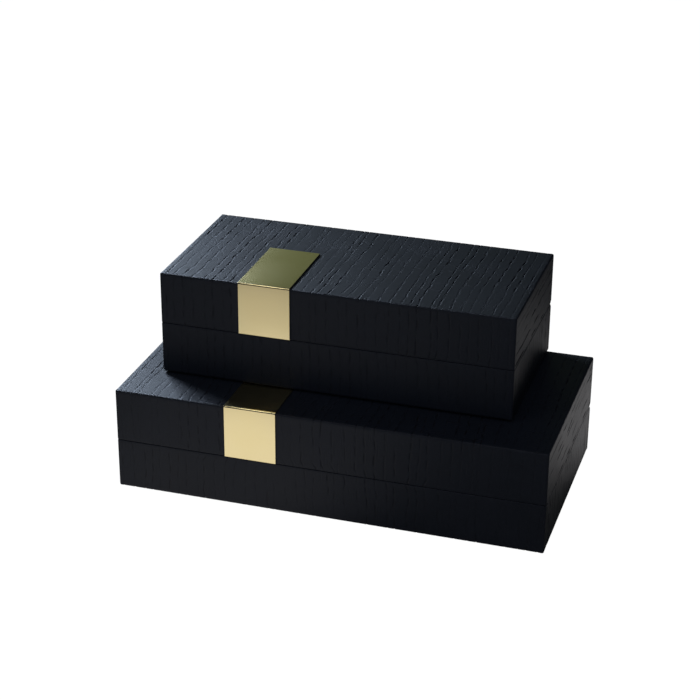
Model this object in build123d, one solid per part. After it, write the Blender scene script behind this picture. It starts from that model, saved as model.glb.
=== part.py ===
from build123d import *
from math import cos, radians, sin, tan
import os

# A set of two leather-covered jewelry boxes of one design: a small one standing on a large one.
# X runs along the fronts, Y towards the hinged backs and Z up, in millimetres. The origin is the
# centre of the whole outline at the surface that the large box stands on.

# The large box: outside width, depth and height, and the height of the seam between base and lid.
large_width = 350.0
large_depth = 180.0
large_height = 86.0
large_seam = 42.0

# The small box, measured the same way from its own foot, and how far left its middle stands.
small_width = 288.0
small_depth = 138.0
small_height = 86.0
small_seam = 43.0
small_shift = 7.0

# Skins and boards, from the outside in.
leather = 1.0
corner_radius = 1.6
edge_radius = 1.5
board = 9.0
panel = 5.0
lining = 1.0
lid_pad = 3.0
pad_edge = 1.4
fit_gap = 0.2

# The seam: the slit between the leather lips, and how far the leather turns in over each rim.
seam_gap = 0.4
leather_return = 6.0

# The foot: the leather turns under the floor, and a felt sheet inside that turn carries the box.
turn_under = 12.0
felt = 1.2
felt_proud = 0.2
felt_corner = 3.0

# Hinges. Their axis runs in the seam, inside the back wall. Behind the axis both rims are bevelled,
# and the bevels meet as a stop just past the lid's open limit of 95 degrees.
hinge_inset = 3.5
stop_bevel = 48.5
hinge_width = 25.0
knuckle_count = 5
knuckle_radius = 1.8
knuckle_gap = 0.15
notch_gap = 0.4
leaf_thick = 1.2
leaf_margin = 0.5
pin_radius = 0.8
pin_play = 0.05
large_hinge_offset = 90.0
small_hinge_offset = 74.0

# Countersunk screws, two through each hinge leaf.
screw_radius = 0.8
screw_head_radius = 1.5
screw_head_depth = 0.7
screw_length = 8.0
screw_pitch = 14.0

# The brass plate that is bent over the front edge of each lid, and the prongs that hold it.
plate_width = 42.5
plate_reach = 75.5
plate_thick = 1.0
plate_bend = 1.5
plate_lift = 0.3
large_plate_offset = 92.2
small_plate_offset = 66.0
prong_radius = 1.0
prong_length = 4.0
prong_pitch = 26.0

# The fittings inside each base: ring rolls in a bay at the left, and crossed dividers beside it.
large_bay = 98.0
small_bay = 86.0
large_rolls = 8
small_rolls = 6
roll_height = 20.0
roll_crown_share = 0.46
large_columns = 3
small_columns = 2
divider = 3.0
divider_height = 25.0
divider_edge = 1.3

# What follows from these sizes for both boxes.
wall = leather + board
cavity_inset = wall + lining
notch_radius = knuckle_radius + notch_gap
leaf_depth = wall - hinge_inset - leaf_margin
screw_back = (notch_radius + leaf_depth) / 2
felt_inset = turn_under + fit_gap
LOW = (Align.CENTER, Align.CENTER, Align.MIN)


class Case:
    """One box: its sizes, its place in the set, and how its fittings are shared out."""

    def __init__(self, name, width, depth, height, seam, place, hinge_offset, plate_offset,
                 bay, rolls, columns):
        self.name = name
        self.width = width
        self.depth = depth
        self.height = height
        self.seam = seam
        self.place = place
        self.hinge_offset = hinge_offset
        self.plate_offset = plate_offset
        self.bay = bay
        self.rolls = rolls
        self.columns = columns
        self.floor = felt + panel
        self.ceiling = height - leather - panel
        self.axis_y = depth / 2 - hinge_inset


def slab(case, inset, low, high, radius=0.0):
    """An upright block whose sides lie inset from the box's outside, from height low to high."""
    width = case.width - 2 * inset
    depth = case.depth - 2 * inset
    outline = RectangleRounded(width, depth, radius) if radius else Rectangle(width, depth)
    return Pos(0, 0, low) * extrude(outline, high - low)


def ring(case, outer, inner, low, high):
    """A rectangular tube between two insets."""
    return slab(case, outer, low, high) - slab(case, inner, low, high)


def rim_side(case, inset, is_lid):
    """Everything on one side of the seam, with the back rim bevelled outward from the hinge axis.

    Both faces of this corner lie the same distance off the hinge axis, so the corner sits on
    their bisector, and a skin between two such solids has one thickness all over.
    """
    off = seam_gap / 2 + inset
    bevel = radians(stop_bevel)
    corner_y = case.axis_y - off * tan(bevel / 2)
    far_y = case.depth
    far_off = (off + (far_y - case.axis_y) * sin(bevel)) / cos(bevel)
    deep = case.height + case.depth
    turn = 1 if is_lid else -1
    points = [
        (-far_y, case.seam + turn * off),
        (corner_y, case.seam + turn * off),
        (far_y, case.seam + turn * far_off),
        (far_y, case.seam + turn * deep * 2),
        (-far_y, case.seam + turn * deep * 2),
    ]
    profile = Plane.YZ * make_face(Polyline(points, close=True))
    return extrude(profile, case.width, both=True)


def shell_core(case, inset, is_lid):
    """The solid form of a base or lid whose faces lie inset from the leather's outside."""
    low = case.seam - hinge_inset * 2 if is_lid else felt_proud + inset
    high = case.height - inset if is_lid else case.seam + hinge_inset * 2
    block = slab(case, inset, low, high, corner_radius - inset if corner_radius > inset else 0.0)
    if inset == 0:
        outer_face = block.faces().sort_by(Axis.Z)[-1 if is_lid else 0]
        block = fillet(outer_face.edges(), edge_radius)
    return block & rim_side(case, inset, is_lid)


def hinge_places(case):
    """The middle of each hinge, on its axis."""
    return [Pos(side * case.hinge_offset, case.axis_y, case.seam) for side in (-1, 1)]


def hinge_pocket(is_lid):
    """What a rim loses for one hinge: a bed for its leaf and a round trough for the knuckles."""
    top = seam_gap / 2
    bed = Pos(0, 0, -top - leaf_thick) * Box(
        hinge_width + fit_gap, leaf_depth + fit_gap / 2, leaf_thick + top + fit_gap,
        align=(Align.CENTER, Align.MAX, Align.MIN))
    trough = Rot(0, 90, 0) * Cylinder(notch_radius, hinge_width + fit_gap)
    pocket = bed + trough
    return mirror(pocket, Plane.XY) if is_lid else pocket


def screw_places(is_lid):
    """The two screws of a leaf, with their heads level with the leaf's face."""
    turn = Rot(180, 0, 0) if is_lid else Rot(0, 0, 0)
    top = seam_gap / 2 if is_lid else -seam_gap / 2
    return [Pos(side * screw_pitch / 2, -screw_back, top) * turn for side in (-1, 1)]


def screw(head_gap=0.0):
    """A countersunk screw with its head's face at height 0."""
    head = Cone(screw_radius, screw_head_radius + head_gap, screw_head_depth,
                align=(Align.CENTER, Align.CENTER, Align.MAX))
    shank = Cylinder(screw_radius, screw_length, align=(Align.CENTER, Align.CENTER, Align.MAX))
    return head + shank


def knuckle_spans(is_lid):
    """The start and end along X of each knuckle of a leaf: the base has the odd ones."""
    step = hinge_width / knuckle_count
    first = 1 if is_lid else 0
    spans = []
    for index in range(first, knuckle_count, 2):
        low = -hinge_width / 2 + index * step
        trim_low = knuckle_gap / 2 if index > 0 else 0.0
        trim_high = knuckle_gap / 2 if index < knuckle_count - 1 else 0.0
        spans.append((low + trim_low, low + step - trim_high))
    return spans


def hinge_leaf(is_lid):
    """A leaf lying in its rim, with knuckles round the pin and two countersunk holes."""
    top = -seam_gap / 2
    flap = Pos(0, -notch_radius, top) * Box(
        hinge_width, leaf_depth - notch_radius, leaf_thick, align=(Align.CENTER, Align.MAX, Align.MAX))
    bore_radius = pin_radius + (pin_play if is_lid else 0.0)
    leaf = flap
    for low, high in knuckle_spans(is_lid):
        length = high - low
        barrel = Rot(0, 90, 0) * Cylinder(knuckle_radius, length)
        neck = Pos(0, 0, top) * Box(length, notch_radius, leaf_thick,
                                    align=(Align.CENTER, Align.MAX, Align.MAX))
        leaf += Pos((low + high) / 2, 0, 0) * (barrel + neck)
    leaf -= Rot(0, 90, 0) * Cylinder(bore_radius, hinge_width * 2)
    for side in (-1, 1):
        leaf -= Pos(side * screw_pitch / 2, -screw_back, top) * screw()
    return mirror(leaf, Plane.XY) if is_lid else leaf


def hinge_pin():
    """The pin, as long as the hinge."""
    return Rot(0, 90, 0) * Cylinder(pin_radius, hinge_width)


def plate_middle(case):
    """The plate's middle along X."""
    return -case.width / 2 + case.plate_offset + plate_width / 2


def prong_places(case):
    """Where the two prongs enter the lid's front, half way up it."""
    middle_z = (case.seam + case.height) / 2
    middle_x = plate_middle(case)
    return [Pos(middle_x + side * prong_pitch / 2, -case.depth / 2, middle_z) for side in (-1, 1)]


def prong():
    """A blunt prong that points back from the plate."""
    return Rot(-90, 0, 0) * Cylinder(prong_radius, prong_length, align=LOW)


def clasp_plate(case):
    """The brass plate: a front leg and a longer top leg round one bend, and its prongs."""
    front = -case.depth / 2
    low = case.seam + seam_gap / 2 + plate_lift
    top = case.height
    back = front + plate_reach
    inner_bend = plate_bend - plate_thick
    outside = [(front - plate_thick, low), (front - plate_thick, top + plate_thick), (back, top + plate_thick)]
    inside = [(front, low), (front, top), (back, top)]
    outer_path = FilletPolyline(*outside, radius=plate_bend)
    inner_path = FilletPolyline(*inside, radius=inner_bend)
    ends = Line(outside[0], inside[0]) + Line(outside[-1], inside[-1])
    profile = Plane.YZ * make_face(outer_path + inner_path + ends)
    plate = Pos(plate_middle(case), 0, 0) * extrude(profile, plate_width / 2, both=True)
    for place in prong_places(case):
        plate += place * prong()
    return plate


def board_walls(case, is_lid):
    """The four mitred walls of a base or lid, with what the hinges and the plate need cut away."""
    low = case.seam - hinge_inset * 2 if is_lid else case.floor
    high = case.ceiling if is_lid else case.seam + hinge_inset * 2
    tube = shell_core(case, leather, is_lid) & slab(case, 0, low, high)
    tube -= slab(case, wall, low, high)
    for place in hinge_places(case):
        tube -= place * hinge_pocket(is_lid)
        for spot in screw_places(is_lid):
            tube -= place * spot * screw()
    if is_lid:
        for place in prong_places(case):
            tube -= place * prong()
    half_w = case.width / 2
    half_d = case.depth / 2
    reach = half_d
    corners = {
        "front": [(-half_w, -half_d), (half_w, -half_d), (half_w - reach, 0), (-half_w + reach, 0)],
        "back": [(half_w, half_d), (-half_w, half_d), (-half_w + reach, 0), (half_w - reach, 0)],
        "left": [(-half_w, half_d), (-half_w, -half_d), (-half_w + reach, 0)],
        "right": [(half_w, -half_d), (half_w, half_d), (half_w - reach, 0)],
    }
    walls = {}
    for side, points in corners.items():
        sector = extrude(make_face(Polyline(points, close=True)), case.height)
        walls[side] = tube & sector
    return walls


def leather_cover(case, is_lid):
    """The leather of a base or lid: outside, over the rim and a little way down the inner wall."""
    turn = 1 if is_lid else -1
    rim = case.seam + turn * seam_gap / 2
    cover = shell_core(case, 0, is_lid) - shell_core(case, leather, is_lid)
    reach = sorted((rim - turn * hinge_inset, rim + turn * (leather_return + leather)))
    cover -= slab(case, wall, reach[0], reach[1])
    inner = sorted((rim, rim + turn * leather_return))
    cover += ring(case, wall, cavity_inset, inner[0], inner[1])
    if not is_lid:
        cover -= slab(case, turn_under, 0, felt, felt_corner)
    for place in hinge_places(case):
        cover -= place * hinge_pocket(is_lid)
    if is_lid:
        for place in prong_places(case):
            cover -= place * prong()
    return cover


def wall_lining(case, is_lid):
    """The fabric on the walls, from the edge of the turned-in leather to the floor or ceiling."""
    if is_lid:
        low = case.seam + seam_gap / 2 + leather_return
        return ring(case, wall, cavity_inset, low, case.ceiling)
    high = case.seam - seam_gap / 2 - leather_return
    return ring(case, wall, cavity_inset, case.floor, high)


def lid_cushion(case):
    """The thin cushion on the lid's ceiling, with its lower edges drawn in."""
    pad = slab(case, cavity_inset + fit_gap, case.ceiling - lid_pad, case.ceiling, felt_corner)
    return fillet(pad.faces().sort_by(Axis.Z)[0].edges(), pad_edge)


def bay_wall_x(case):
    """The middle of the divider between the ring bay and the compartments."""
    return -case.width / 2 + cavity_inset + case.bay + divider / 2


def ring_rolls(case):
    """Soft rolls lying side by side across the bay, round on top, with a slit between each two."""
    depth = case.depth - 2 * cavity_inset
    pitch = depth / case.rolls
    width = pitch - fit_gap
    outline = Rectangle(width, roll_height, align=(Align.CENTER, Align.MIN))
    crown = outline.vertices().sort_by(Axis.Y)[-2:]
    section = fillet(crown, width * roll_crown_share)
    roll = extrude(Plane.YZ * section, (case.bay - 2 * fit_gap) / 2, both=True)
    middle_x = -case.width / 2 + cavity_inset + case.bay / 2
    floor = case.floor + lining
    places = [Pos(middle_x, -depth / 2 + (index + 0.5) * pitch, floor) for index in range(case.rolls)]
    return [place * roll for place in places]


def standing_board(length, along_x):
    """A divider standing on edge, with its top edges rounded."""
    size = (length, divider) if along_x else (divider, length)
    blank = Box(size[0], size[1], divider_height, align=LOW)
    long_edges = blank.faces().sort_by(Axis.Z)[-1].edges().filter_by(Axis.X if along_x else Axis.Y)
    return fillet(long_edges, divider_edge)


def dividers(case):
    """The bay wall, one long divider and the cross dividers, halved together where they meet."""
    floor = case.floor + lining
    depth = case.depth - 2 * cavity_inset - 2 * fit_gap
    left = bay_wall_x(case) + divider / 2
    right = case.width / 2 - cavity_inset
    pitch = (right - left + divider) / case.columns
    cross_x = [left - divider / 2 + pitch * index for index in range(1, case.columns)]
    bay_wall = Pos(bay_wall_x(case), 0, floor) * standing_board(depth, False)
    long_board = Pos((left + right) / 2, 0, floor) * standing_board(right - left - 2 * fit_gap, True)
    slot = divider + fit_gap
    boards = [bay_wall]
    for x in cross_x:
        long_board -= Pos(x, 0, floor + divider_height / 2) * Box(slot, slot, divider_height, align=LOW)
        cross = Pos(x, 0, floor) * standing_board(depth, False)
        cross -= Pos(x, 0, floor + divider_height / 2) * Box(
            slot, slot, divider_height, align=(Align.CENTER, Align.CENTER, Align.MAX))
        boards.append(cross)
    boards.append(long_board)
    return boards


def case_nodes(case):
    """Every piece of one box, by name, in the box's own place: solids, or lists of solids."""
    base_walls = board_walls(case, False)
    lid_walls = board_walls(case, True)
    spots = hinge_places(case)
    nodes = {
        "base_floor_panel": shell_core(case, leather, False) & slab(case, 0, 0, case.floor),
        "base_leather": leather_cover(case, False),
        "base_felt": slab(case, felt_inset, 0, felt, felt_corner - fit_gap),
        "base_wall_lining": wall_lining(case, False),
        "base_floor_lining": slab(case, cavity_inset, case.floor, case.floor + lining),
        "ring_rolls": ring_rolls(case),
        "dividers": dividers(case),
        "hinge_base_leaves": [spot * hinge_leaf(False) for spot in spots],
        "hinge_lid_leaves": [spot * hinge_leaf(True) for spot in spots],
        "hinge_pins": [spot * hinge_pin() for spot in spots],
        "base_hinge_screws": [spot * place * screw() for spot in spots for place in screw_places(False)],
        "lid_hinge_screws": [spot * place * screw() for spot in spots for place in screw_places(True)],
        "lid_top_panel": shell_core(case, leather, True) & slab(case, 0, case.ceiling, case.height),
        "lid_leather": leather_cover(case, True),
        "lid_wall_lining": wall_lining(case, True),
        "lid_cushion": lid_cushion(case),
        "clasp_plate": clasp_plate(case),
    }
    for side, solid in base_walls.items():
        nodes["base_" + side + "_wall"] = solid
    for side, solid in lid_walls.items():
        nodes["lid_" + side + "_wall"] = solid
    return nodes


def solids_of(shape):
    """The solids of a shape or of a list of shapes."""
    pieces = shape if isinstance(shape, list) else [shape]
    return [solid for piece in pieces for solid in piece.solids()]


# The plate stands out in front of the large box, so the box sits half its thickness back. The small
# box stands on the large one's plate, with the two backs in one plane.
large_middle_y = plate_thick / 2
large_back = large_middle_y + large_depth / 2
large_place = Pos(0, large_middle_y, 0)
small_place = Pos(-small_shift, large_back - small_depth / 2, large_height + plate_thick)

cases = [
    Case("large", large_width, large_depth, large_height, large_seam, large_place,
         large_hinge_offset, large_plate_offset, large_bay, large_rolls, large_columns),
    Case("small", small_width, small_depth, small_height, small_seam, small_place,
         small_hinge_offset, small_plate_offset, small_bay, small_rolls, small_columns),
]

os.makedirs("parts", exist_ok=True)
for case in cases:
    for name, shape in case_nodes(case).items():
        placed = [case.place * solid for solid in solids_of(shape)]
        node = placed[0] if len(placed) == 1 else Compound(children=placed)
        export_step(node, "parts/" + case.name + "_" + name + ".step")
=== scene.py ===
from math import cos, pi, radians, sin

import bmesh
import bpy
import numpy as np
from mathutils import Matrix, Vector


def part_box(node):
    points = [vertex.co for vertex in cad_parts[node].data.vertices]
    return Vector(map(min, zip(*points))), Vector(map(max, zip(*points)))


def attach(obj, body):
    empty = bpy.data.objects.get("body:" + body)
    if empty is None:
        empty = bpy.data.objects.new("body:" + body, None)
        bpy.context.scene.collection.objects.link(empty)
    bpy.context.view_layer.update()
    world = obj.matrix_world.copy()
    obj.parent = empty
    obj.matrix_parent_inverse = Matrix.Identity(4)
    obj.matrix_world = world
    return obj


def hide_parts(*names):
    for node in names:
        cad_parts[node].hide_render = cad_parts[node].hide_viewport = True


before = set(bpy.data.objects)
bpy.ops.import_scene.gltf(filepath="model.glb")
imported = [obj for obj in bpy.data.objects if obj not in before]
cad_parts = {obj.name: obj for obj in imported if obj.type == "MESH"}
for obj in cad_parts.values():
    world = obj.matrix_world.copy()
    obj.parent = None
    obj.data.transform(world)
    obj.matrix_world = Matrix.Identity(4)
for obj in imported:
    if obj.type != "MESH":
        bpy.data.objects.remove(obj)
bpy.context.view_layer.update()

# The leather covers of both lids and bases. Thin black cowhide is embossed like crocodile, glued over the
# boards, turned over each rim and a little way down inside. Furrows run from back to front over a lid
# and down its face; a base has its own strip, with furrows from rim to foot.
sizes = ("large", "small")
MM = 0.001
hide_seed = 11
lattice_size = 64
lattice = np.random.default_rng(hide_seed).random((3, lattice_size, lattice_size))

furrow_depth = 0.50
furrow_marks = np.array([-1.5, -0.9, -0.4, 0.0, 0.4, 0.9, 1.5])
lip_height = 0.16
lip_away = 1.05
lip_half = 0.42
arch_height = 0.06
wide_sway = 7.0
fine_sway = 1.9
sway_border = 14
past_border = 6


def ease(low, high, value):
    """0 below low, 1 above high, and 3t^2 - 2t^3 of the way between them."""
    part = np.clip((value - low) / (high - low), 0, 1)
    return part**2 * (3 - 2 * part)


def smooth_noise(x, y, layer=0):
    """Random heights from 0 to 1 at whole numbers of x and y, eased between them."""
    low_x, low_y = np.floor(x).astype(int), np.floor(y).astype(int)
    part_x, part_y = ease(0, 1, x - low_x), ease(0, 1, y - low_y)
    left, right = low_x % lattice_size, (low_x + 1) % lattice_size
    front, back = low_y % lattice_size, (low_y + 1) % lattice_size
    heights = lattice[layer]
    in_front = heights[left, front] * (1 - part_x) + heights[right, front] * part_x
    behind = heights[left, back] * (1 - part_x) + heights[right, back] * part_x
    return in_front * (1 - part_y) + behind * part_y


class Furrows:
    """The emboss on one sheet, in millimetres: long furrows that lie side by side across it."""

    def __init__(self, low, high, pitch, stroke, seed):
        draw = np.random.default_rng(seed)
        count = max(2, round((high - low) / pitch))
        self.seed = seed
        self.low, self.high = low, high
        step = (high - low) / count
        self.lines = low + step * (np.arange(count) + 0.5 + 0.5 * (draw.random(count) - 0.5))
        self.strength = 0.35 + 0.65 * draw.random(count)
        self.stroke = stroke * (0.8 + 0.4 * draw.random(count))
        self.start = draw.random(count)

    def stations(self, spacing):
        """Where the mesh has lines across the sheet: close together on each furrow, and even between."""
        marks = [self.low]
        for line in self.lines:
            gap = line + furrow_marks[0] - marks[-1]
            fill = max(1, round(gap / spacing))
            marks += list(marks[-1] + gap * np.arange(1, fill) / fill)
            marks += list(line + furrow_marks)
        gap = self.high - marks[-1]
        fill = max(1, round(gap / spacing))
        marks += list(marks[-1] + gap * np.arange(1, fill + 1) / fill)
        return np.array(marks)

    def sway(self, across, along):
        """How far the sheet's lines wander sideways: two noises, and none at the sheet's borders."""
        wide = smooth_noise(across / 90 + self.seed, along / 75 + 3.3) - 0.5
        fine = smooth_noise(across / 8 + 9.1, along / 9 + self.seed, 1) - 0.5
        border = ease(0, sway_border, across - self.low) * ease(0, sway_border, self.high - across)
        return (wide_sway * wide + fine_sway * fine) * border

    def power(self, which, across, along):
        """How deeply a furrow is pressed: strokes along it by a sine whose beat drifts, weaker in some
        patches of the sheet than in others."""
        beat = along / self.stroke[which] + self.start[which]
        beat = beat + 1.1 * smooth_noise(which * 2.1 + self.seed, along / 22)
        fade = ease(0.15, 0.65, 0.5 + 0.5 * np.sin(2 * pi * beat))
        patch = ease(0.25, 0.6, smooth_noise(across / 30 + 4.4, along / 38 + self.seed, 1))
        return self.strength[which] * (0.06 + 0.94 * fade * (0.35 + 0.65 * patch))

    def relief(self, across, along):
        """Height over the sheet's face, never above it, how much of a groove each point is, and which strip
        between two furrows it is in, with its share of the way over. A furrow is a bell-shaped groove
        between two low lips, and the leather is arched between furrows."""
        across, along = np.broadcast_arrays(across, along)
        after = np.searchsorted(self.lines, across)
        left = np.concatenate([[self.low - past_border], self.lines])[after]
        right = np.concatenate([self.lines, [self.high + past_border]])[after]
        share = (across - left) / (right - left)
        height = arch_height * (4 * share * (1 - share)) - arch_height
        groove = np.zeros(across.shape)
        for side in (0, 1):
            which = np.clip(after - 1 + side, 0, len(self.lines) - 1)
            away = np.abs(across - self.lines[which])
            power = self.power(which, across, along)
            width = 0.38 + 0.22 * smooth_noise(which * 5.3, along / 9, 2)
            groove = np.maximum(groove, power * np.exp(-((away / width) ** 2)))
            height = height + lip_height * power * np.exp(-(((away - lip_away) / lip_half) ** 2))
        height = height - lip_height - furrow_depth * groove
        return np.minimum(height, 0), groove, after + share


def grid_faces(rows, columns, start=0, wrap_columns=False, wrap_rows=False):
    """The corner numbers of the quads of a grid of points, whose last line may join its first."""
    row = np.arange(rows if wrap_rows else rows - 1)[:, None]
    column = np.arange(columns if wrap_columns else columns - 1)[None, :]
    next_row, next_column = (row + 1) % rows, (column + 1) % columns
    corners = [row * columns + column, row * columns + next_column,
               next_row * columns + next_column, next_row * columns + column]
    return np.stack([c.ravel() for c in np.broadcast_arrays(*corners)], axis=1) + start


def new_mesh(name, points, quads, polygons=(), attributes=None, sharp=40):
    """A piece from points in metres and from faces, with doubles merged and normals outward."""
    mesh = bpy.data.meshes.new(name)
    mesh.from_pydata(points.tolist(), [], quads.tolist() + [list(polygon) for polygon in polygons])
    for key, values in (attributes or {}).items():
        layer = mesh.attributes.new(key, "FLOAT_VECTOR", "POINT")
        layer.data.foreach_set("vector", np.asarray(values, dtype=np.float32).ravel())
    work = bmesh.new()
    work.from_mesh(mesh)
    bmesh.ops.remove_doubles(work, verts=work.verts, dist=2e-6)
    bmesh.ops.dissolve_degenerate(work, edges=work.edges, dist=1e-7)
    bmesh.ops.recalc_face_normals(work, faces=work.faces)
    work.to_mesh(mesh)
    work.free()
    mesh.shade_smooth()
    mesh.set_sharp_from_angle(angle=radians(sharp))
    piece = bpy.data.objects.new(name, mesh)
    bpy.context.scene.collection.objects.link(piece)
    return piece


class Number:
    """One output in a node tree. Its operators add Math nodes, so that shader maths reads as maths."""

    def __init__(self, wiring, socket):
        self.wiring = wiring
        self.socket = socket

    def __add__(self, other):
        return self.wiring.maths("ADD", self, other)

    def __sub__(self, other):
        return self.wiring.maths("SUBTRACT", self, other)

    def __rsub__(self, other):
        return self.wiring.maths("SUBTRACT", other, self)

    def __mul__(self, other):
        return self.wiring.maths("MULTIPLY", self, other)

    __radd__ = __add__
    __rmul__ = __mul__


class Wiring:
    """A node tree, with one method that makes any node."""

    def __init__(self, tree):
        self.tree = tree

    def node(self, kind, settings=None, inputs=None, output=0):
        made = self.tree.nodes.new(kind)
        for key, value in (settings or {}).items():
            setattr(made, key, value)
        self.feed(made, inputs or {})
        return Number(self, made.outputs[output])

    def feed(self, made, inputs):
        """Sets a node's sockets, each to a value or to a link."""
        for key, value in inputs.items():
            if isinstance(value, Number):
                self.tree.links.new(value.socket, made.inputs[key])
            else:
                made.inputs[key].default_value = value

    def maths(self, operation, *values):
        return self.node("ShaderNodeMath", {"operation": operation}, dict(enumerate(values)))

    def split(self, vector):
        """The three parts of a vector."""
        return [self.node("ShaderNodeSeparateXYZ", None, {0: vector}, axis) for axis in "XYZ"]

    def ramp(self, value, low, high):
        """0 where the value is low and 1 where it is high, eased between them."""
        inputs = {0: value, 1: low, 2: high}
        return self.node("ShaderNodeMapRange", {"interpolation_type": "SMOOTHSTEP"}, inputs)

    def blend(self, factor, first, second):
        """The first colour where the factor is 0, and the second where it is 1."""
        inputs = {0: factor, 6: first, 7: second}
        return self.node("ShaderNodeMix", {"data_type": "RGBA"}, inputs, 2)


class Paint(Wiring):
    """A material: its patterns lie on the piece's own place, and finish says what its shader is fed."""

    def __init__(self, name):
        self.material = bpy.data.materials.new(name)
        self.material.use_nodes = True
        super().__init__(self.material.node_tree)
        self.shader = self.tree.nodes["Principled BSDF"]
        self.place = self.node("ShaderNodeTexCoord", output="Object")

    def noise(self, scale, detail=2.0, roughness=0.5, place=None, stretch=None):
        where = place or self.place
        if stretch:
            where = self.node("ShaderNodeMapping", None, {"Vector": where, "Scale": stretch})
        inputs = {"Vector": where, "Scale": scale, "Detail": detail, "Roughness": roughness}
        return self.node("ShaderNodeTexNoise", None, inputs)

    def cell_borders(self, place, scale):
        """The distance from the nearest border between random cells."""
        return self.node("ShaderNodeTexVoronoi", {"feature": "DISTANCE_TO_EDGE"},
                         {"Vector": place, "Scale": scale})

    def finish(self, height=None, strength=1.0, distance=0.001, **inputs):
        if height is not None:
            bump = {"Height": height, "Strength": strength, "Distance": distance}
            inputs["Normal"] = self.node("ShaderNodeBump", None, bump)
        self.feed(self.shader, {key.replace("_", " "): value for key, value in inputs.items()})
        return self.material


def colour(red, green, blue):
    """A colour given as on a screen, from 0 to 255, in the linear values that shaders take."""
    parts = [((v / 255 + 0.055) / 1.055) ** 2.4 if v > 10 else v / 3294.6 for v in (red, green, blue)]
    return (*parts, 1)


leather = Paint("crocodile_leather")
emboss_here = leather.node("ShaderNodeAttribute", {"attribute_name": "emboss"}, None, "Vector")
groove, strip, run = leather.split(emboss_here)
wander = leather.node("ShaderNodeTexNoise", None,
                      {"Vector": leather.place, "Scale": 75.0, "Detail": 2.0}, "Color")
bent = leather.node("ShaderNodeVectorMath", {"operation": "MULTIPLY_ADD"},
                    {0: wander, 1: (0.010, 0.010, 0.010), 2: leather.place}, "Vector")
facing = leather.node("ShaderNodeTexCoord", output="Normal")
facing_up = leather.ramp(leather.split(facing)[2], 0.2, 0.7)
creased = leather.ramp(leather.noise(scale=17.0, detail=1.0), 0.44, 0.58)
pebbled = leather.ramp(leather.noise(scale=21.0, detail=1.0, place=bent), 0.53, 0.63)

# Creases lie across each strip between two furrows, about 13 mm apart and at random heights, and only
# some of them are pressed.
crease_pitch = 13
row = leather.maths("FLOOR", strip)
row_shift = leather.node("ShaderNodeTexWhiteNoise", {"noise_dimensions": "1D"}, {"W": row}, "Value")
tile = run * (1 / crease_pitch) + row_shift * 7.0 + leather.noise(scale=110.0, detail=1.0) * 0.55
tile_number = leather.maths("FLOOR", tile)
tile_place = leather.node("ShaderNodeCombineXYZ", None, {0: row, 1: tile_number})
pressed = leather.node("ShaderNodeTexWhiteNoise", {"noise_dimensions": "2D"}, {"Vector": tile_place}, "Value")
from_crease = leather.maths("ABSOLUTE", tile - tile_number - 0.5)
creases = leather.ramp(from_crease, 0.045, 0.0) * leather.ramp(pressed, 0.3, 0.7)
creases = creases * (0.15 + 0.85 * creased) * (0.15 + 0.85 * facing_up)

small_cells = leather.node("ShaderNodeMapping", None, {"Vector": bent, "Scale": (190.0, 150.0, 160.0)})
scales = leather.ramp(leather.cell_borders(small_cells, 1.0), 0.10, 0.0)
scales = scales * pebbled * (0.1 + 0.9 * facing_up)
sunk = leather.maths("MAXIMUM", creases, scales * 0.35)
scratches = leather.ramp(leather.noise(scale=1.0, detail=1.0, stretch=(950.0, 60.0, 60.0)), 0.60, 0.72)
scratched = leather.ramp(leather.noise(scale=26.0, detail=1.0), 0.5, 0.62)
grain = leather.cell_borders(leather.place, 1300.0)
patches = leather.noise(scale=22.0, detail=3.0)
leather_black = leather.blend(patches, colour(7, 10, 16), colour(11, 14, 22))
# Painted shade: the black goes darker in the pressed creases and along the scale borders.
leather_black = leather.blend(sunk * 0.7, leather_black, colour(6, 6, 9))
leather_finish = leather.finish(
    height=grain * 0.12 - sunk * 1.0 - scratches * scratched * 0.35, strength=0.55, distance=0.0005,
    # Painted shade: the colour goes darker still down in the furrows.
    Base_Color=leather.blend(groove, leather_black, colour(5, 5, 8)),
    Roughness=0.50 + 0.10 * patches + 0.22 * groove + 0.12 * sunk,
    Specular_IOR_Level=0.18)

# The covers' sizes in millimetres: the round of the outer edges and of the lips at the seam, how far the
# leather is turned over, down and under, and the bevel, beds and trough that leave room for the hinges.
edge = 1.5
lip = 0.5
hide = 1.0
turn_in = 11.0
turn_down = 6.0
turn_under = 12.0
skived = 1.8
seam_half = 0.2
pin_inset = 3.5
bevel = radians(48.5)
hinge_half = 12.5
bed_half = 12.6
bed_inset = 9.6
leaf_bed = 1.38
trough = 2.15
bed_slip = 0.01
rim_marks = (1.3, 2.0, 2.75, 3.5, 4.25, 5.0, 5.65, 5.7)
furrow_pitch = 8.0
calm_rim = 7
calm_corner = 3.5
calm_front = 0.55


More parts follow.
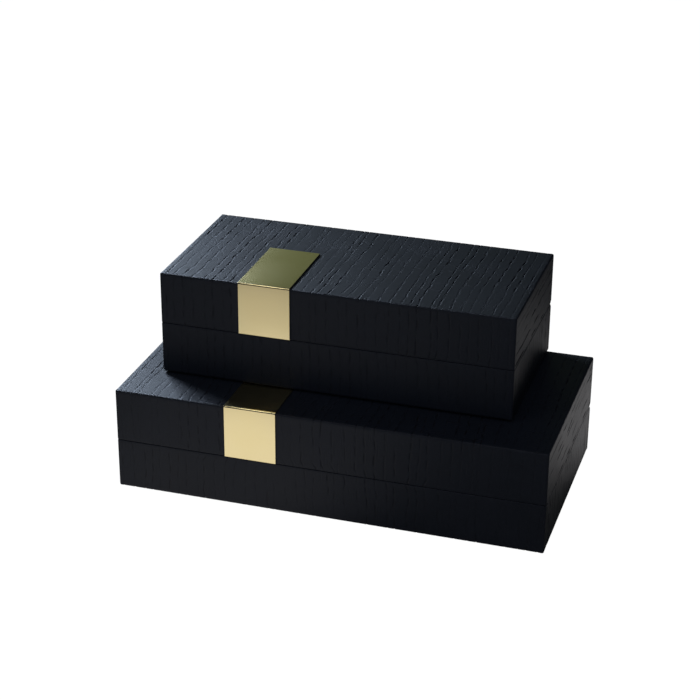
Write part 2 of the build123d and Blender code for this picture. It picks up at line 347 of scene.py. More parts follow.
def cover_outline(width, depth, across, beside):
    """The path round a box, as six rows: points on the outline drawn in by the edge radius, the way
    outward at each, its place along its side, and the side's number, or -1 in a corner. The path is
    four sides and four quarter turns."""
    half_w, half_d = width / 2 - edge, depth / 2 - edge
    turn = np.linspace(0, pi / 2, 5)[1:-1]
    path = []
    sides = [
        (across, -half_d, 0, -1, 0), (beside, half_w, 1, 0, 1),
        (across[::-1], half_d, 0, 1, 2), (beside[::-1], -half_w, -1, 0, 3),
    ]
    corners = [
        (half_w, -half_d, -pi / 2), (half_w, half_d, 0),
        (-half_w, half_d, pi / 2), (-half_w, -half_d, pi),
    ]
    for (marks, level, out_x, out_y, side), (corner_x, corner_y, start) in zip(sides, corners):
        flat = np.full(len(marks), level)
        place_x, place_y = (marks, flat) if out_x == 0 else (flat, marks)
        ones = np.ones(len(marks))
        path.append(np.stack([place_x, place_y, out_x * ones, out_y * ones, marks, side * ones]))
        ones = np.ones(len(turn))
        path.append(np.stack([corner_x * ones, corner_y * ones, np.cos(start + turn), np.sin(start + turn),
                              0 * ones, -1 * ones]))
    return np.concatenate(path, axis=1)


def cover_section(is_lid, tall, drops):
    """A cover's section, from the top or foot's edge round a quarter turn, down the side, over the lip,
    across the rim, down inside and back along the glued face. Each point has its inset, its share of
    the way to the seam, its lift above that, how its face leans out and up, and its share of emboss."""
    rows = []
    for angle in np.linspace(0, pi / 2, 5)[:-1]:
        rows.append((edge * (1 - sin(angle)), 0, -edge * (1 - cos(angle)), sin(angle), cos(angle), 1))
    for drop in drops:
        share = (drop - edge) / (tall - lip - edge)
        rows.append((0, share, -edge * (1 - share) + lip * share, 1, 0, 1))
    for angle in np.linspace(0, pi / 2, 4)[1:]:
        rows.append((lip * (1 - cos(angle)), 1, lip * (1 - sin(angle)), cos(angle), -sin(angle), cos(angle)))
    for inset in (*rim_marks, bed_inset - 0.02, bed_inset + 0.02, turn_in - lip):
        rows.append((inset, 1, 0, 0, -1, 0))
    for angle in np.linspace(0, pi / 2, 4)[1:]:
        rows.append((turn_in - lip * (1 - sin(angle)), 1, lip * (1 - cos(angle)), 0, 0, 0))
    inner = [(turn_in, 1, turn_down), (turn_in - hide, 1, turn_down), (turn_in - hide, 1, skived * hide),
             (hide, 1, skived * hide), (hide, 0, -hide)]
    if not is_lid:
        inner += [(turn_under, 0, -hide), (turn_under, 0, 0), (turn_under / 2, 0, 0)]
    rows += [(inset, share, lift, 0, 0, 0) for inset, share, lift in inner]
    return [np.array(column)[:, None] for column in zip(*rows)]


def rim_cut(x, y, depth, pins, on_rim):
    """How far the rim lies back from the middle of the seam: half the gap, then the bevel behind the
    hinge's axis, and where a hinge is, its leaf's bed or its knuckles' trough, sqrt(r^2 - y^2)."""
    axis_y = depth / 2 - pin_inset
    slope = seam_half + np.maximum(y - axis_y, 0) * sin(bevel)
    rim = np.where(y > axis_y, slope / cos(bevel), seam_half)
    at_hinge = np.zeros(x.shape, dtype=bool)
    for pin in pins:
        at_hinge |= (np.abs(x - pin) < bed_half) & (y > 0)
    back_in = depth / 2 - y
    round_cut = np.sqrt(np.maximum(trough**2 - (back_in - pin_inset) ** 2, 0))
    under_leaf = (back_in > pin_inset) & (back_in < bed_inset)
    cut = np.where(under_leaf, np.maximum(leaf_bed, round_cut), round_cut)
    return np.where(at_hinge & on_rim, np.maximum(rim, cut), rim)


def lid_top(over, across, beside, half_w, half_d, level):
    """The points and the emboss of a lid's top, a grid whose relief dies out at its corners."""
    x, y = np.meshgrid(across, beside)
    height, depth_here, strip_place = over.relief(x, y)
    taper = ease(0, calm_corner, np.hypot(half_w - np.abs(x), half_d - np.abs(y)))
    points = np.stack([x + over.sway(x, y), y, level + height * taper], axis=-1)
    emboss = np.stack([depth_here * taper, strip_place, y], axis=-1)
    return points.reshape(-1, 3), emboss.reshape(-1, 3)


def leather_cover(size, part):
    """A closed leather skin: the section carried round the box's outline, with the emboss pressed in
    along the way that each face leans. A lid's skin is closed by its top, a grid, and below that by
    one flat face; a base's section closes on itself under the floor."""
    low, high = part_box(size + "_" + part + "_leather")
    width, depth = (high.x - low.x) / MM, (high.y - low.y) / MM
    middle_x, middle_y = (high.x + low.x) / 2 / MM, (high.y + low.y) / 2 / MM
    is_lid = part == "lid"
    up = 1 if is_lid else -1
    far = (high.z if is_lid else low.z) / MM
    seam = (low.z if is_lid else high.z) / MM - up * seam_half
    tall = abs(far - seam)
    half_w, half_d = width / 2 - edge, depth / 2 - edge
    first_pin, last_pin = (corner.x / MM - middle_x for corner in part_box(size + "_hinge_pins"))
    pins = [first_pin + hinge_half, last_pin - hinge_half]

    seed = 5 * (size == "small") + (1 if is_lid else 3)
    over = Furrows(-half_w, half_w, furrow_pitch, 15.0, seed)
    aside = Furrows(-half_d, half_d, furrow_pitch, 24.0, seed + 20)
    down = Furrows(edge, tall - lip, 9.0, 70.0, seed + 40)
    steps = [pin + end * (bed_half + slip) for pin in pins for end in (-1, 1) for slip in (-bed_slip, bed_slip)]
    across = over.stations(2.2)
    for step in steps:
        across = across[np.abs(across - step) > 0.25]
    across = np.sort(np.concatenate([across, steps]))
    beside = np.linspace(-half_d, half_d, round(depth / 2.1)) if is_lid else aside.stations(2.2)
    drops = down.stations(2.0) if is_lid else np.linspace(edge, tall - lip, 24)
    inset, share, lift, lean_out, lean_up, carved = cover_section(is_lid, tall, drops)
    path_x, path_y, out_x, out_y, mark, side = cover_outline(width, depth, across, beside)

    shrink_x = np.where(inset > edge, (width / 2 - inset) / half_w, 1)
    shrink_y = np.where(inset > edge, (depth / 2 - inset) / half_d, 1)
    reach = np.maximum(edge - inset, 0)
    x = path_x * shrink_x + reach * out_x
    y = path_y * shrink_y + reach * out_y
    round_the_edge = edge * np.arcsin(np.clip(1 - inset / edge, 0, 1)) * 2 / pi
    fall = np.where(share > 0, share * (tall - lip - edge) + edge, round_the_edge)
    run = half_d + fall if is_lid else fall
    on_front = (side == 0) | (side == 2)
    on_end = (side == 1) | (side == 3)
    along = np.where(side == 0, -run, run) if is_lid else run + 0 * mark
    calm = ease(0, calm_rim, tall - fall) * carved
    x = x + np.where(on_front, over.sway(mark, along) * calm, 0)
    height, groove_depth, strip_place = over.relief(np.where(on_front, mark, 0), along)
    if is_lid:
        every_fall, every_mark = fall + 0 * mark, mark + 0 * run
        top_height, top_groove, _ = over.relief(np.where(side == 1, half_w, -half_w) + 0 * run, every_mark)
        end_height, end_groove, end_strip = down.relief(every_fall, every_mark)
        drift = down.sway(every_fall, every_mark) * calm
        turn = ease(0, 1, fall / edge / 1.2)
        end_height = top_height * (1 - turn) + end_height * turn
        end_groove = top_groove * (1 - turn) + end_groove * turn
    else:
        end_height, end_groove, end_strip = aside.relief(mark, run)
        drift = 0 * x
        y = y + np.where(on_end, aside.sway(mark, run) * calm, 0)
    strip_place = np.where(on_front, strip_place, end_strip)
    run_place = np.where(on_front, along, mark if is_lid else run)
    to_corner = np.where(on_front, half_w, half_d) - np.abs(mark)
    taper = np.where(side < 0, 0, ease(0, calm_corner, to_corner)) * carved
    taper_more = np.where(on_front, calm_front, 1.0)
    height = np.where(on_front, height, end_height) * taper * taper_more
    groove_depth = np.where(on_front, groove_depth, end_groove) * taper * taper_more

    rim = rim_cut(x, y, depth, pins, (share == 1) & (lift == 0))
    z = far * (1 - share) + (seam + up * rim) * share + up * lift
    z = z - np.where(on_end, drift, 0) * up
    x = x + height * lean_out * out_x
    y = y + height * lean_out * out_y
    z = z + up * height * lean_up
    points = np.stack([x, y, z], axis=-1).reshape(-1, 3)
    emboss = np.stack([groove_depth, strip_place + 0 * run_place, run_place], axis=-1).reshape(-1, 3)
    quads = grid_faces(len(inset), len(mark), wrap_columns=True, wrap_rows=not is_lid)
    polygons = []
    if is_lid:
        quads = np.concatenate([quads, grid_faces(len(beside), len(across), start=len(points))])
        last = (len(inset) - 1) * len(mark)
        polygons.append(range(last, last + len(mark)))
        top_points, top_emboss = lid_top(over, across, beside, half_w, half_d, far)
        points, emboss = np.concatenate([points, top_points]), np.concatenate([emboss, top_emboss])
    points = (points + (middle_x, middle_y, 0)) * MM
    piece = new_mesh(size + "_" + part + "_cover", points, quads, polygons, {"emboss": emboss})
    piece.data.materials.append(leather_finish)
    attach(piece, size + "_" + part)
    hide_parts(size + "_" + part + "_leather")


for size in sizes:
    for part in ("lid", "base"):
        leather_cover(size, part)

# The brass plates. Each is a strip bent once over the front edge of its lid, satin finished, with its
# cut edges eased by a file.
brass = Paint("satin_brass")
strokes = brass.noise(scale=1400.0, stretch=(0.02, 1.0, 1.0))
haze = brass.noise(scale=30.0)
brass_finish = brass.finish(
    height=strokes, strength=0.02, distance=0.00005,
    Base_Color=brass.blend(haze, colour(222, 205, 152), colour(228, 213, 165)), Metallic=1.0,
    Roughness=0.19 + 0.06 * haze + 0.03 * strokes)
plate_thick = 1.0
plate_bend = 1.5
plate_ease = 0.2


def clasp_plate(size):
    """A closed band: the plate's section, drawn in at its two ends, carried along X. The section goes
    up the front leg, round the bend and back along the top, then returns one thickness below. Towards
    an end it is drawn in by e (1 - sin a), while the place along X moves by e (1 - cos a)."""
    low, high = (Vector(corner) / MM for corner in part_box(size + "_clasp_plate"))
    face_y, top_z = low.y, high.z
    turn = np.linspace(0, pi / 2, 9)
    inner_bend = plate_bend - plate_thick
    outer = [(face_y, low.z)]
    outer += [(face_y + plate_bend * (1 - cos(a)), top_z - plate_bend * (1 - sin(a))) for a in turn]
    outer += [(high.y, top_z)]
    back_y, under_z = face_y + plate_thick, top_z - plate_thick
    inner = [(high.y, under_z)]
    inner += [(back_y + inner_bend * (1 - cos(a)), under_z - inner_bend * (1 - sin(a))) for a in turn[::-1]]
    inner += [(back_y, low.z)]
    section = np.array(outer + inner)
    before, after = np.roll(section, 1, axis=0), np.roll(section, -1, axis=0)
    ways = np.stack([section - before, after - section])
    ways = ways / np.maximum(np.linalg.norm(ways, axis=-1, keepdims=True), 1e-9)
    inward = (ways[0] + ways[1])[:, ::-1] * (1, -1)
    inward = inward / np.maximum(1e-9, np.linalg.norm(inward, axis=1, keepdims=True))
    spread = np.maximum(0.5, np.abs((ways[0][:, ::-1] * (1, -1) * inward).sum(axis=1)))[:, None]
    steps = np.linspace(0, pi / 2, 5)
    draw_in = [plate_ease * (1 - sin(a)) for a in steps]
    move = [plate_ease * (1 - cos(a)) for a in steps]
    places = [low.x + m for m in move] + [high.x - m for m in move[::-1]]
    rings = [np.column_stack([np.full(len(section), place), section + inward / spread * amount])
             for place, amount in zip(places, draw_in + draw_in[::-1])]
    count = len(section)
    quads = grid_faces(len(rings), count, wrap_columns=True)
    ends = [range(count), range((len(rings) - 1) * count, len(rings) * count)]
    piece = new_mesh(size + "_bent_plate", np.concatenate(rings) * MM, quads, ends, sharp=50)
    piece.data.materials.append(brass_finish)
    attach(piece, size + "_lid")
    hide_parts(size + "_clasp_plate")


for size in sizes:
    clasp_plate(size)

# The boards are raw fibreboard, mitred and glued into a tray and a lid. Nothing shows of them on a
# closed box but their pressed fibres at the hinge beds.
fibreboard = Paint("pressed_fibreboard")
fibres = fibreboard.noise(scale=700.0, detail=4.0, roughness=0.7, stretch=(1.0, 1.0, 2.5))
clumps = fibreboard.noise(scale=70.0, detail=3.0)
fibreboard_finish = fibreboard.finish(
    height=fibres, strength=0.35, distance=0.0003,
    Base_Color=fibreboard.blend(fibres * 0.6 + clumps * 0.4, colour(140, 104, 68), colour(192, 154, 110)),
    Roughness=0.82 + 0.12 * fibres, Specular_IOR_Level=0.25)


def dress(node, finish):
    """Gives a piece that keeps its cut form its finish."""
    for material_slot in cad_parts[node].material_slots:
        material_slot.material = finish


for size in sizes:
    dress(size + "_base_floor_panel", fibreboard_finish)
    dress(size + "_lid_top_panel", fibreboard_finish)
    for side in ("front", "back", "left", "right"):
        dress(size + "_base_" + side + "_wall", fibreboard_finish)
        dress(size + "_lid_" + side + "_wall", fibreboard_finish)

# The hinges: two stamped brass leaves, their knuckles rolled and turned true, on a drawn steel pin. They
# lie flush in beds in both rims.
hinge_brass = Paint("polished_hinge_brass")
tarnish = hinge_brass.noise(scale=160.0, detail=3.0)
rubbed = hinge_brass.noise(scale=900.0, stretch=(1.0, 0.08, 1.0))
dulled = hinge_brass.ramp(tarnish, 0.45, 0.75)
hinge_finish = hinge_brass.finish(
    height=rubbed, strength=0.08, distance=0.0001, Metallic=1.0,
    Base_Color=hinge_brass.blend(dulled, colour(222, 186, 104), colour(176, 138, 74)),
    Roughness=0.16 + 0.14 * tarnish + 0.06 * rubbed)
steel = Paint("drawn_steel")
drawn = steel.noise(scale=1500.0, stretch=(0.03, 1.0, 1.0))
steel_finish = steel.finish(
    height=drawn, strength=0.06, distance=0.0001, Metallic=1.0,
    Base_Color=steel.blend(drawn, colour(176, 178, 182), colour(204, 205, 208)),
    Roughness=0.22 + 0.12 * drawn)
for size in sizes:
    dress(size + "_hinge_base_leaves", hinge_finish)
    dress(size + "_hinge_lid_leaves", hinge_finish)
    dress(size + "_hinge_pins", steel_finish)

# The hinge screws: turned brass, countersunk, with a straight slot sawn across the head. Each leaf has
# two, and there are two hinges.
head_radius = 1.5
head_depth = 0.7
shank_radius = 0.8
tip_radius = 0.25
tip_length = 1
screw_length = 8.0
screw_pitch = 14.0
slot_half = 0.22
slot_depth = 0.35


def screw_form(x, y, z, up):
    """A slotted screw. The head's face is rows across the slot, each as long as the circle's chord there,
    x = u sqrt(r^2 - y^2), and r is the cone's radius at that depth. Below the face, the same outline is
    carried down the cone and the shank, and the tip is a flat."""
    side = np.array([1.0, 0.97, 0.88, 0.72, 0.5, 0.3])
    slot_rows = [-slot_half * 1.02, -slot_half, slot_half, slot_half * 1.02]
    rows = np.concatenate([-side * head_radius, slot_rows, side[::-1] * head_radius])
    sunk = np.where(np.abs(rows) <= slot_half, slot_depth, 0)[:, None]
    chord = np.linspace(-1, 1, 9)[None, :]
    reach = head_radius - sunk / head_depth * (head_radius - shank_radius)
    face_x = chord * np.sqrt(np.maximum(reach**2 - rows[:, None] ** 2, 0))
    face = np.stack([face_x, rows[:, None] + 0 * face_x, -sunk + 0 * face_x], axis=-1)
    rim = np.concatenate([face[:, -1], face[-2:0:-1, 0]])
    angle = np.arctan2(rim[:, 1], rim[:, 0])
    levels = [(shank_radius, -head_depth), (shank_radius, -screw_length + tip_length),
              (tip_radius, -screw_length)]
    rings = [rim] + [np.stack([r * np.cos(angle), r * np.sin(angle), 0 * angle + level], axis=-1)
                     for r, level in levels]
    points = np.concatenate([face.reshape(-1, 3)] + rings)
    points = points * (1, 1, up) + (x, y, z)
    start = face.shape[0] * face.shape[1]
    quads = np.concatenate([grid_faces(face.shape[0], face.shape[1]),
                            grid_faces(len(rings), len(rim), start=start, wrap_columns=True)])
    tip = range(start + (len(rings) - 1) * len(rim), start + len(rings) * len(rim))
    return points, quads, tip


for size in sizes:
    for part, up in (("base", 1), ("lid", -1)):
        node = size + "_" + part + "_hinge_screws"
        low, high = (Vector(corner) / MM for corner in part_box(node))
        first, last = low.x + head_radius, high.x - head_radius
        points, quads, tips = [], [], []
        for index, x in enumerate((first, first + screw_pitch, last - screw_pitch, last)):
            form = screw_form(x, (low.y + high.y) / 2, high.z if up > 0 else low.z, up)
            start = index * len(form[0])
            points.append(form[0])
            quads.append(form[1] + start)
            tips.append([corner + start for corner in form[2]])
        piece = new_mesh(size + "_" + part + "_slotted_screws", np.concatenate(points) * MM,
                         np.concatenate(quads), tips, sharp=30)
        piece.data.materials.append(hinge_finish)
        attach(piece, size + "_" + part)
        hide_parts(node)

# The linings: taupe suede cloth, glued to the inside of the walls and to the floor. The edge along the
# turned-in leather is folded under, so it is round.
suede = Paint("taupe_suede_cloth")
nap = suede.noise(scale=2600.0, detail=3.0, roughness=0.6)
stroked = suede.ramp(suede.noise(scale=38.0, detail=3.0, roughness=0.55), 0.35, 0.7)
suede_colour = suede.blend(stroked, colour(138, 126, 108), colour(163, 150, 131))
suede_finish = suede.finish(
    height=nap, strength=0.4, distance=0.0003,
    Base_Color=suede.blend(nap * 0.5, suede_colour, colour(120, 109, 93)),
    Roughness=0.88 + 0.08 * nap, Specular_IOR_Level=0.2, Sheen_Weight=0.35, Sheen_Roughness=0.4,
    Sheen_Tint=colour(205, 196, 180))
wall_corner = 2.0
fold_radius = 0.5
cloth_thick = 1.0
cloth_swell = 0.12
floor_corner = 1.0
floor_edge = 0.2


def rounded_rings(node, radius, insets, heights, every=4.0):
    """Rounded rectangles round a piece's box, one for each inset and height. Each corner is an arc whose
    centre stays put, so its radius is less by the inset, and a side is a straight row of points."""
    low, high = (Vector(corner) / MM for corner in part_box(node))
    half_w, half_d = (high.x - low.x) / 2 - radius, (high.y - low.y) / 2 - radius
    arc = np.linspace(0, pi / 2, 6)
    place, outward = [], []
    corners = [
        (half_w, half_d, 0), (-half_w, half_d, pi / 2),
        (-half_w, -half_d, pi), (half_w, -half_d, 3 * pi / 2),
    ]
    for index, (x, y, start) in enumerate(corners):
        place.append(np.tile((x, y), (len(arc), 1)))
        outward.append(np.stack([np.cos(arc + start), np.sin(arc + start)], axis=-1))
        after = corners[(index + 1) % 4]
        length = abs(after[0] - x) + abs(after[1] - y)
        share = np.linspace(0, 1, max(2, round(length / every)))[1:-1, None]
        place.append(np.array([[x, y]]) * (1 - share) + np.array([[after[0], after[1]]]) * share)
        outward.append(np.tile(outward[-1][-1], (len(share), 1)))
    place, outward = np.concatenate(place), np.concatenate(outward)
    insets, heights = np.array(insets, dtype=float)[:, None], np.array(heights, dtype=float)[:, None]
    reach = radius - insets
    x = (low.x + high.x) / 2 + place[:, 0] + outward[:, 0] * reach
    y = (low.y + high.y) / 2 + place[:, 1] + outward[:, 1] * reach
    return np.stack([x, y, heights + 0 * x], axis=-1)


def cloth_slab(name, node, radius, soft, finish, body):
    """A flat sheet with a round edge: rounded rectangles that draw in by soft (1 - sin a) at the top and
    the bottom, closed by two flats."""
    low, high = (Vector(corner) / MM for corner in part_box(node))
    turn = np.linspace(0, pi / 2, 5)
    edge_low = [(soft * (1 - sin(a)), low.z + soft * (1 - cos(a))) for a in turn]
    edge_high = [(soft * (1 - sin(a)), high.z - soft * (1 - cos(a))) for a in turn[::-1]]
    insets, heights = zip(*(edge_low + edge_high))
    rings = rounded_rings(node, radius, insets, heights)
    count = rings.shape[1]
    ends = [range(count), range((len(rings) - 1) * count, len(rings) * count)]
    quads = grid_faces(len(rings), count, wrap_columns=True)
    piece = new_mesh(name, rings.reshape(-1, 3) * MM, quads, ends, sharp=50)
    piece.data.materials.append(finish)
    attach(piece, body)
    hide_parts(node)


def wall_cloth(size, part):
    """A closed band round the inside of the walls. Its section is a strip, with a half circle for the
    folded edge, and it is a little thinner towards its far edge."""
    node = size + "_" + part + "_wall_lining"
    low, high = (Vector(corner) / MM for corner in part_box(node))
    fold_z, far_z = (high.z, low.z) if part == "base" else (low.z, high.z)
    way = 1 if part == "base" else -1
    turn = np.linspace(0, pi, 7)[1:]
    share = np.linspace(0, 1, 8)[1:]
    start_z = fold_z - way * fold_radius
    insets = [0.0, 0.0] + [fold_radius - fold_radius * cos(a) for a in turn]
    insets += list(cloth_thick - cloth_swell * share)
    heights = [far_z, start_z] + [fold_z - way * (fold_radius - fold_radius * sin(a)) for a in turn]
    heights += list(start_z * (1 - share) + far_z * share)
    rings = rounded_rings(node, wall_corner, insets, heights)
    quads = grid_faces(len(rings), rings.shape[1], wrap_columns=True, wrap_rows=True)
    piece = new_mesh(size + "_" + part + "_wall_cloth", rings.reshape(-1, 3) * MM, quads, sharp=50)
    piece.data.materials.append(suede_finish)
    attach(piece, size + "_" + part)
    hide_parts(node)


for size in sizes:
    wall_cloth(size, "base")
    wall_cloth(size, "lid")
    cloth_slab(size + "_floor_cloth", size + "_base_floor_lining", floor_corner, floor_edge, suede_finish,
               size + "_base")

# The dividers: boards wrapped in the same suede, halved together where they cross like an egg crate.
# They keep their cut form.
for size in sizes:
    dress(size + "_dividers", suede_finish)

# The ring rolls: rods of firm foam, each wrapped in suede and sewn shut at both ends. They stand side by
# side in the left bay, and a ring is pressed into the slit between two.
roll_counts = {"large": 8, "small": 6}
roll_gap = 0.2
roll_end = 3.5
roll_crown_share = 0.94
roll_foot = 0.6
roll_middle_share = 0.46
pleat_count = 14


def ring_rolls(size):
    """One closed form for each roll: a section carried along X. The section is flat below, upright at
    the sides and nearly a half circle on top. Towards an end the form draws in like a quarter circle,
    with small pleats in the cloth, and it closes on the middle of the end."""
    node = size + "_ring_rolls"
    low, high = (Vector(corner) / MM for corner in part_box(node))
    count = roll_counts[size]
    pitch = (high.y - low.y + roll_gap) / count
    half, tall, length = (pitch - roll_gap) / 2, high.z - low.z, high.x - low.x
    crown = half * roll_crown_share
    arc = np.linspace(0, pi, 19)
    side_low = np.linspace(roll_foot, tall - crown, 5)[:-1]
    y = np.concatenate([np.full(4, half), (half - crown) * np.sign(np.cos(arc)) + crown * np.cos(arc),
                        np.full(4, -half), np.linspace(-half + roll_foot, half - roll_foot, 7)])
    z = np.concatenate([side_low, tall - crown + crown * np.sin(arc), side_low[::-1], np.zeros(7)])
    ends = roll_end * (1 - np.cos(np.linspace(0, pi / 2, 8)))
    along = np.concatenate([ends, np.linspace(roll_end, length - roll_end, 24)[1:-1], length - ends[::-1]])
    from_end = np.minimum(along, length - along)
    draw = np.sqrt(np.clip(1 - (1 - np.minimum(from_end / roll_end, 1)) ** 2, 0, 1))
    middle_z = tall * roll_middle_share
    angle = np.arctan2(z - middle_z, y)
    swell = 1 - 0.012 * np.cos(2 * pi * (along / length - 0.5)) ** 2
    pleats = 0.05 * np.cos(pleat_count * angle)[None, :] * np.exp(-from_end / 3.0)[:, None]
    shape = (0.30 + 0.70 * draw)[:, None] * (swell[:, None] - np.abs(pleats))
    points, quads, caps = [], [], []
    for index in range(count):
        lumps = smooth_noise(along[:, None] / 13 + index * 5.1, 3 * angle[None, :] + index) - 0.5
        out = np.clip(shape - np.abs(0.35 * lumps) / 20 * draw[:, None], 0, 1)
        roll_y = low.y + half + pitch * index + y[None, :] * out
        roll_z = middle_z + (z - middle_z)[None, :] * out
        roll_z = np.where(z[None, :] == 0, roll_z * (1 - draw[:, None]), roll_z)
        roll_x = low.x + along[:, None] + 0 * out
        rings = np.stack([roll_x, roll_y, low.z + np.maximum(roll_z, 0)], axis=-1)
        closing = rings[[0, -1]] * 0.25 + rings[[0, -1]].mean(axis=1, keepdims=True) * 0.75
        rings = np.concatenate([closing[:1], rings, closing[1:]])
        start = index * len(rings) * len(y)
        last = start + (len(rings) - 1) * len(y)
        points.append(rings.reshape(-1, 3))
        quads.append(grid_faces(len(rings), len(y), start=start, wrap_columns=True))
        caps += [range(start, start + len(y)), range(last, last + len(y))]
    piece = new_mesh(size + "_sewn_ring_rolls", np.concatenate(points) * MM, np.concatenate(quads), caps,
                     sharp=60)
    piece.data.materials.append(suede_finish)
    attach(piece, size + "_base")
    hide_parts(node)


for size in sizes:
    ring_rolls(size)

# The lid cushions: thin foam under suede, glued flat to the lid's ceiling, with its edges drawn in where
# the cloth is sewn round them.
cushion_edge = 7.0
cushion_pull = 0.5
cushion_spacing = 1.6
corner_pull = 1.0
seam_marks = np.array([0, 0.15, 0.5, 1.1, 2.0, 3.2, 4.8, 6.5])
pucker_pitch = 8.5
pucker_length = 4.5


def cushion_marks(half):
    """Places from -1 to 1 across the cushion: close together near the seams, and even between."""
    near = 1 - seam_marks / half
    between = np.linspace(-near[-1], near[-1], round(half / cushion_spacing))[1:-1]
    return np.concatenate([-near, between, near[::-1]])


def lid_cushion(size):
    """Two grids that share their border: a flat one on the ceiling, and below it the crowned face, whose
    depth rises from the border along a quarter ellipse and then gently to the middle. The sides pull in
    between the corners by (1 - v^4), and small puckers run in from the seam and die out."""
    node = size + "_lid_cushion"
    low, high = (Vector(corner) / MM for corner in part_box(node))
    half_w, half_d, deep = (high.x - low.x) / 2, (high.y - low.y) / 2, high.z - low.z
    u, v = np.meshgrid(cushion_marks(half_w), cushion_marks(half_d))
    corner = np.abs(u * v) ** 40
    x = u * (half_w - cushion_pull * (1 - v**4) - corner_pull * corner)
    y = v * (half_d - cushion_pull * (1 - u**4) - corner_pull * corner)
    in_x, in_y = half_w * (1 - np.abs(u)), half_d * (1 - np.abs(v))
    rise = 1.0
    for inward in (in_x, in_y):
        rise = rise * np.sqrt(np.clip(1 - (1 - np.minimum(inward / cushion_edge, 1)) ** 2, 0, 1))
    crown = 0.82 + 0.18 * (1 - u**2) * (1 - v**2)
    along = np.where(in_x < in_y, y, x)
    inward = np.minimum(in_x, in_y)
    beat = 2 * pi * along / pucker_pitch + 4 * smooth_noise(along / 17, inward / 40)
    pucker = 0.05 * np.sin(beat) * np.exp(-inward / pucker_length)
    middle = Vector((low.x + high.x, low.y + high.y, 0)) / 2
    face = np.stack([x + middle.x, y + middle.y, high.z - deep * rise * (crown - np.abs(pucker))], axis=-1)
    back = np.stack([x + middle.x, y + middle.y, high.z + 0 * x], axis=-1)
    points = np.concatenate([face.reshape(-1, 3), back.reshape(-1, 3)])
    rows, columns = x.shape
    quads = np.concatenate([grid_faces(rows, columns), grid_faces(rows, columns, start=rows * columns)])
    piece = new_mesh(size + "_padded_ceiling", points * MM, quads, sharp=70)
    piece.data.materials.append(suede_finish)
    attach(piece, size + "_lid")
    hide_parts(node)


for size in sizes:
    lid_cushion(size)

# The feet: pressed black felt, die cut with soft edges and glued in the frame that the turned-under
# leather leaves.
felt = Paint("pressed_felt")
felt_fibres = felt.noise(scale=1900.0, detail=5.0, roughness=0.75)
felt_tufts = felt.noise(scale=260.0, detail=3.0)
felt_finish = felt.finish(
    height=felt_fibres * 0.7 + felt_tufts * 0.3, strength=0.6, distance=0.0004,
    Base_Color=felt.blend(felt_fibres, colour(20, 20, 22), colour(44, 44, 48)),
    Roughness=0.9 + 0.08 * felt_tufts, Specular_IOR_Level=0.1, Sheen_Weight=0.2, Sheen_Roughness=0.5)
felt_corner = 2.8
felt_edge = 0.45
for size in sizes:
    cloth_slab(size + "_felt_foot", size + "_base_felt", felt_corner, felt_edge, felt_finish,
               size + "_base")

# The table and the light: a white table, which for reflections glows with painted light pooled near the
# boxes and fading away from them, a cold lamp near the back left and another behind it that only leaves a
# sheen, a soft box above the front that lights the bend of the plates, and a wide fill that leaves no gloss.
table_size = 6.0
table_level = -0.0002
bpy.ops.mesh.primitive_plane_add(size=table_size, location=(0, 0, table_level))
table = bpy.context.object
table.name = "table"
table_paint = Paint("table")
table_paint.finish(Base_Color=(0.8, 0.8, 0.8, 1), Roughness=0.9, Specular_IOR_Level=0.0)


def painted_light_pool(x, y, inner, outer):
    """A painted pool of light: 1 within inner of a place on the table and 0 beyond outer."""
    away = table_paint.node("ShaderNodeVectorMath", {"operation": "DISTANCE"},
                            {0: table_paint.place, 1: (x, y, 0)}, "Value")
    return table_paint.ramp(away, outer, inner)


# What gloss sees in the table: painted light pooled in front and at the sides, and dark elsewhere.
near_painted_light = painted_light_pool(-0.11, -0.20, 0.09, 0.20)
wide_painted_light = painted_light_pool(-0.20, -0.42, 0.22, 0.30) * 0.62
side_painted_light = painted_light_pool(0.28, 0.17, 0.08, 0.19)
painted_light_pools = table_paint.maths("MAXIMUM", table_paint.maths("MAXIMUM", near_painted_light, wide_painted_light), side_painted_light)
painted_light_pools = table_paint.blend(painted_light_pools, (0.02, 0.02, 0.02, 1), (1.07, 1.04, 1.05, 1))
seen = table_paint.node("ShaderNodeLightPath", output="Is Camera Ray")
mirrored = table_paint.node("ShaderNodeLightPath", output="Is Glossy Ray")
glow = table_paint.node("ShaderNodeEmission", None, {"Color": (1, 1, 1, 1), "Strength": 1.04})
# Painted light: the table glows with this for reflections only, where no lamp stands.
painted_light_glow = table_paint.node("ShaderNodeEmission", None, {"Color": painted_light_pools, "Strength": 1.0})
lit = Number(table_paint, table_paint.shader.outputs[0])
for_gloss = table_paint.node("ShaderNodeMixShader", None, {0: mirrored * 0.9, 1: lit, 2: painted_light_glow})
table_mix = table_paint.node("ShaderNodeMixShader", None, {0: seen * 0.96, 1: for_gloss, 2: glow})
table_paint.feed(table_paint.tree.nodes["Material Output"], {"Surface": table_mix})
table.data.materials.append(table_paint.material)


def area_lamp(name, place, aim, size, power, tint=(1, 1, 1), glossy=True, diffuse=True):
    """A square lamp at place, facing aim."""
    lamp = bpy.data.lights.new(name, "AREA")
    lamp.size = size
    lamp.energy = power
    lamp.color = tint
    holder = bpy.data.objects.new(name, lamp)
    bpy.context.scene.collection.objects.link(holder)
    holder.location = place
    holder.rotation_euler = (Vector(aim) - Vector(place)).to_track_quat("-Z", "Y").to_euler()
    holder.visible_camera = False
    holder.visible_glossy = glossy
    holder.visible_diffuse = diffuse


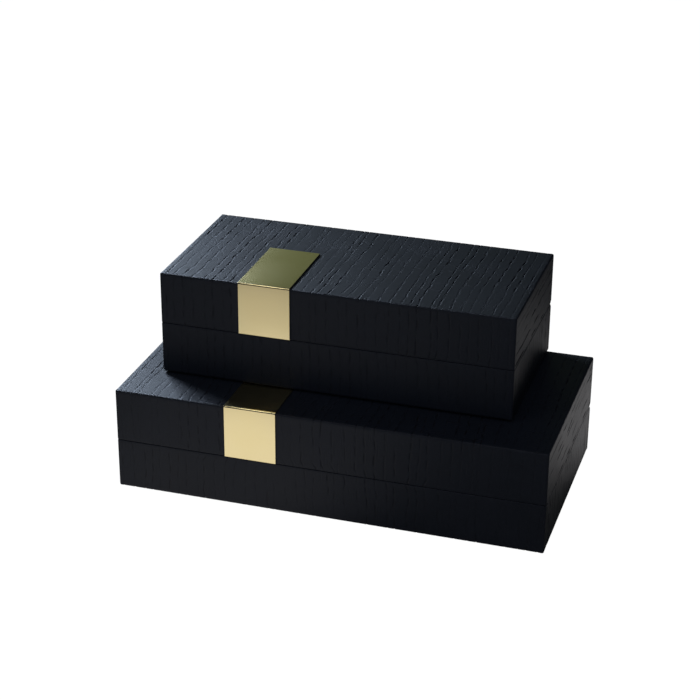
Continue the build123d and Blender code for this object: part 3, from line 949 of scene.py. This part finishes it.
boxes_middle = (-0.05, 0, 0.1)
cold = (0.67, 0.80, 1.0)
area_lamp("key", (-0.54, 0.19, 0.50), boxes_middle, size=0.10, power=5.0, tint=cold)
area_lamp("key_gloss", (-0.50, 0.30, 0.50), boxes_middle, size=0.20, power=8.2, tint=cold, diffuse=False)
area_lamp("top_box", (-0.42, -0.60, 1.30), boxes_middle, size=0.55, power=2.5)
area_lamp("fill", (0.5, -1.4, 1.6), (0, 0, 0.1), size=1.6, power=26.0, tint=(0.95, 0.98, 1.0), glossy=False)

# The room: dark, with one dim panel behind the boxes that the plates' tops mirror. It is white where the
# camera looks into it, and pale for what light comes back to the boxes from all round.
world = bpy.data.worlds.new("studio")
world.use_nodes = True
bpy.context.scene.world = world
room = Wiring(world.node_tree)
panel_way = (-0.35, 0.85, 0.39)
way = room.node("ShaderNodeTexCoord", output="Generated")
toward = room.node("ShaderNodeVectorMath", {"operation": "DOT_PRODUCT"}, {0: way, 1: panel_way}, "Value")
walls = room.blend(room.ramp(toward, 0.93, 0.985), (0.015, 0.016, 0.02, 1), (0.12, 0.15, 0.09, 1))
camera_ray = room.node("ShaderNodeLightPath", output="Is Camera Ray")
diffuse_ray = room.node("ShaderNodeLightPath", output="Is Diffuse Ray")
ambient = room.blend(diffuse_ray, walls, (0.36, 0.38, 0.40, 1))
room.feed(room.tree.nodes["Background"],
          {"Color": room.blend(camera_ray, ambient, (1, 1, 1, 1)), "Strength": 1.0})

# The camera, where the photograph was taken from. It looks along ahead, and rolls a little about that.
camera_place = (0.39023, -1.2966, 0.73836)
camera_yaw, camera_pitch, camera_roll = radians(-17.07), radians(-25.01), radians(0.47)
focal_pixels = 1858.68
photo_pixels = 700
film_width = 36
camera = bpy.data.cameras.new("camera")
camera.sensor_width = film_width
camera.lens = focal_pixels / photo_pixels * film_width
holder = bpy.data.objects.new("camera", camera)
bpy.context.scene.collection.objects.link(holder)
ahead = Vector((sin(camera_yaw) * cos(camera_pitch), cos(camera_yaw) * cos(camera_pitch), sin(camera_pitch)))
right = Vector((cos(camera_yaw), -sin(camera_yaw), 0))
above = right.cross(ahead)
turned_right = right * cos(camera_roll) + above * sin(camera_roll)
turned_above = above * cos(camera_roll) - right * sin(camera_roll)
turned = Matrix((turned_right, turned_above, -ahead)).transposed().to_4x4()
holder.matrix_world = Matrix.Translation(camera_place) @ turned
bpy.context.scene.camera = holder

bpy.context.scene.view_settings.view_transform = "Standard"
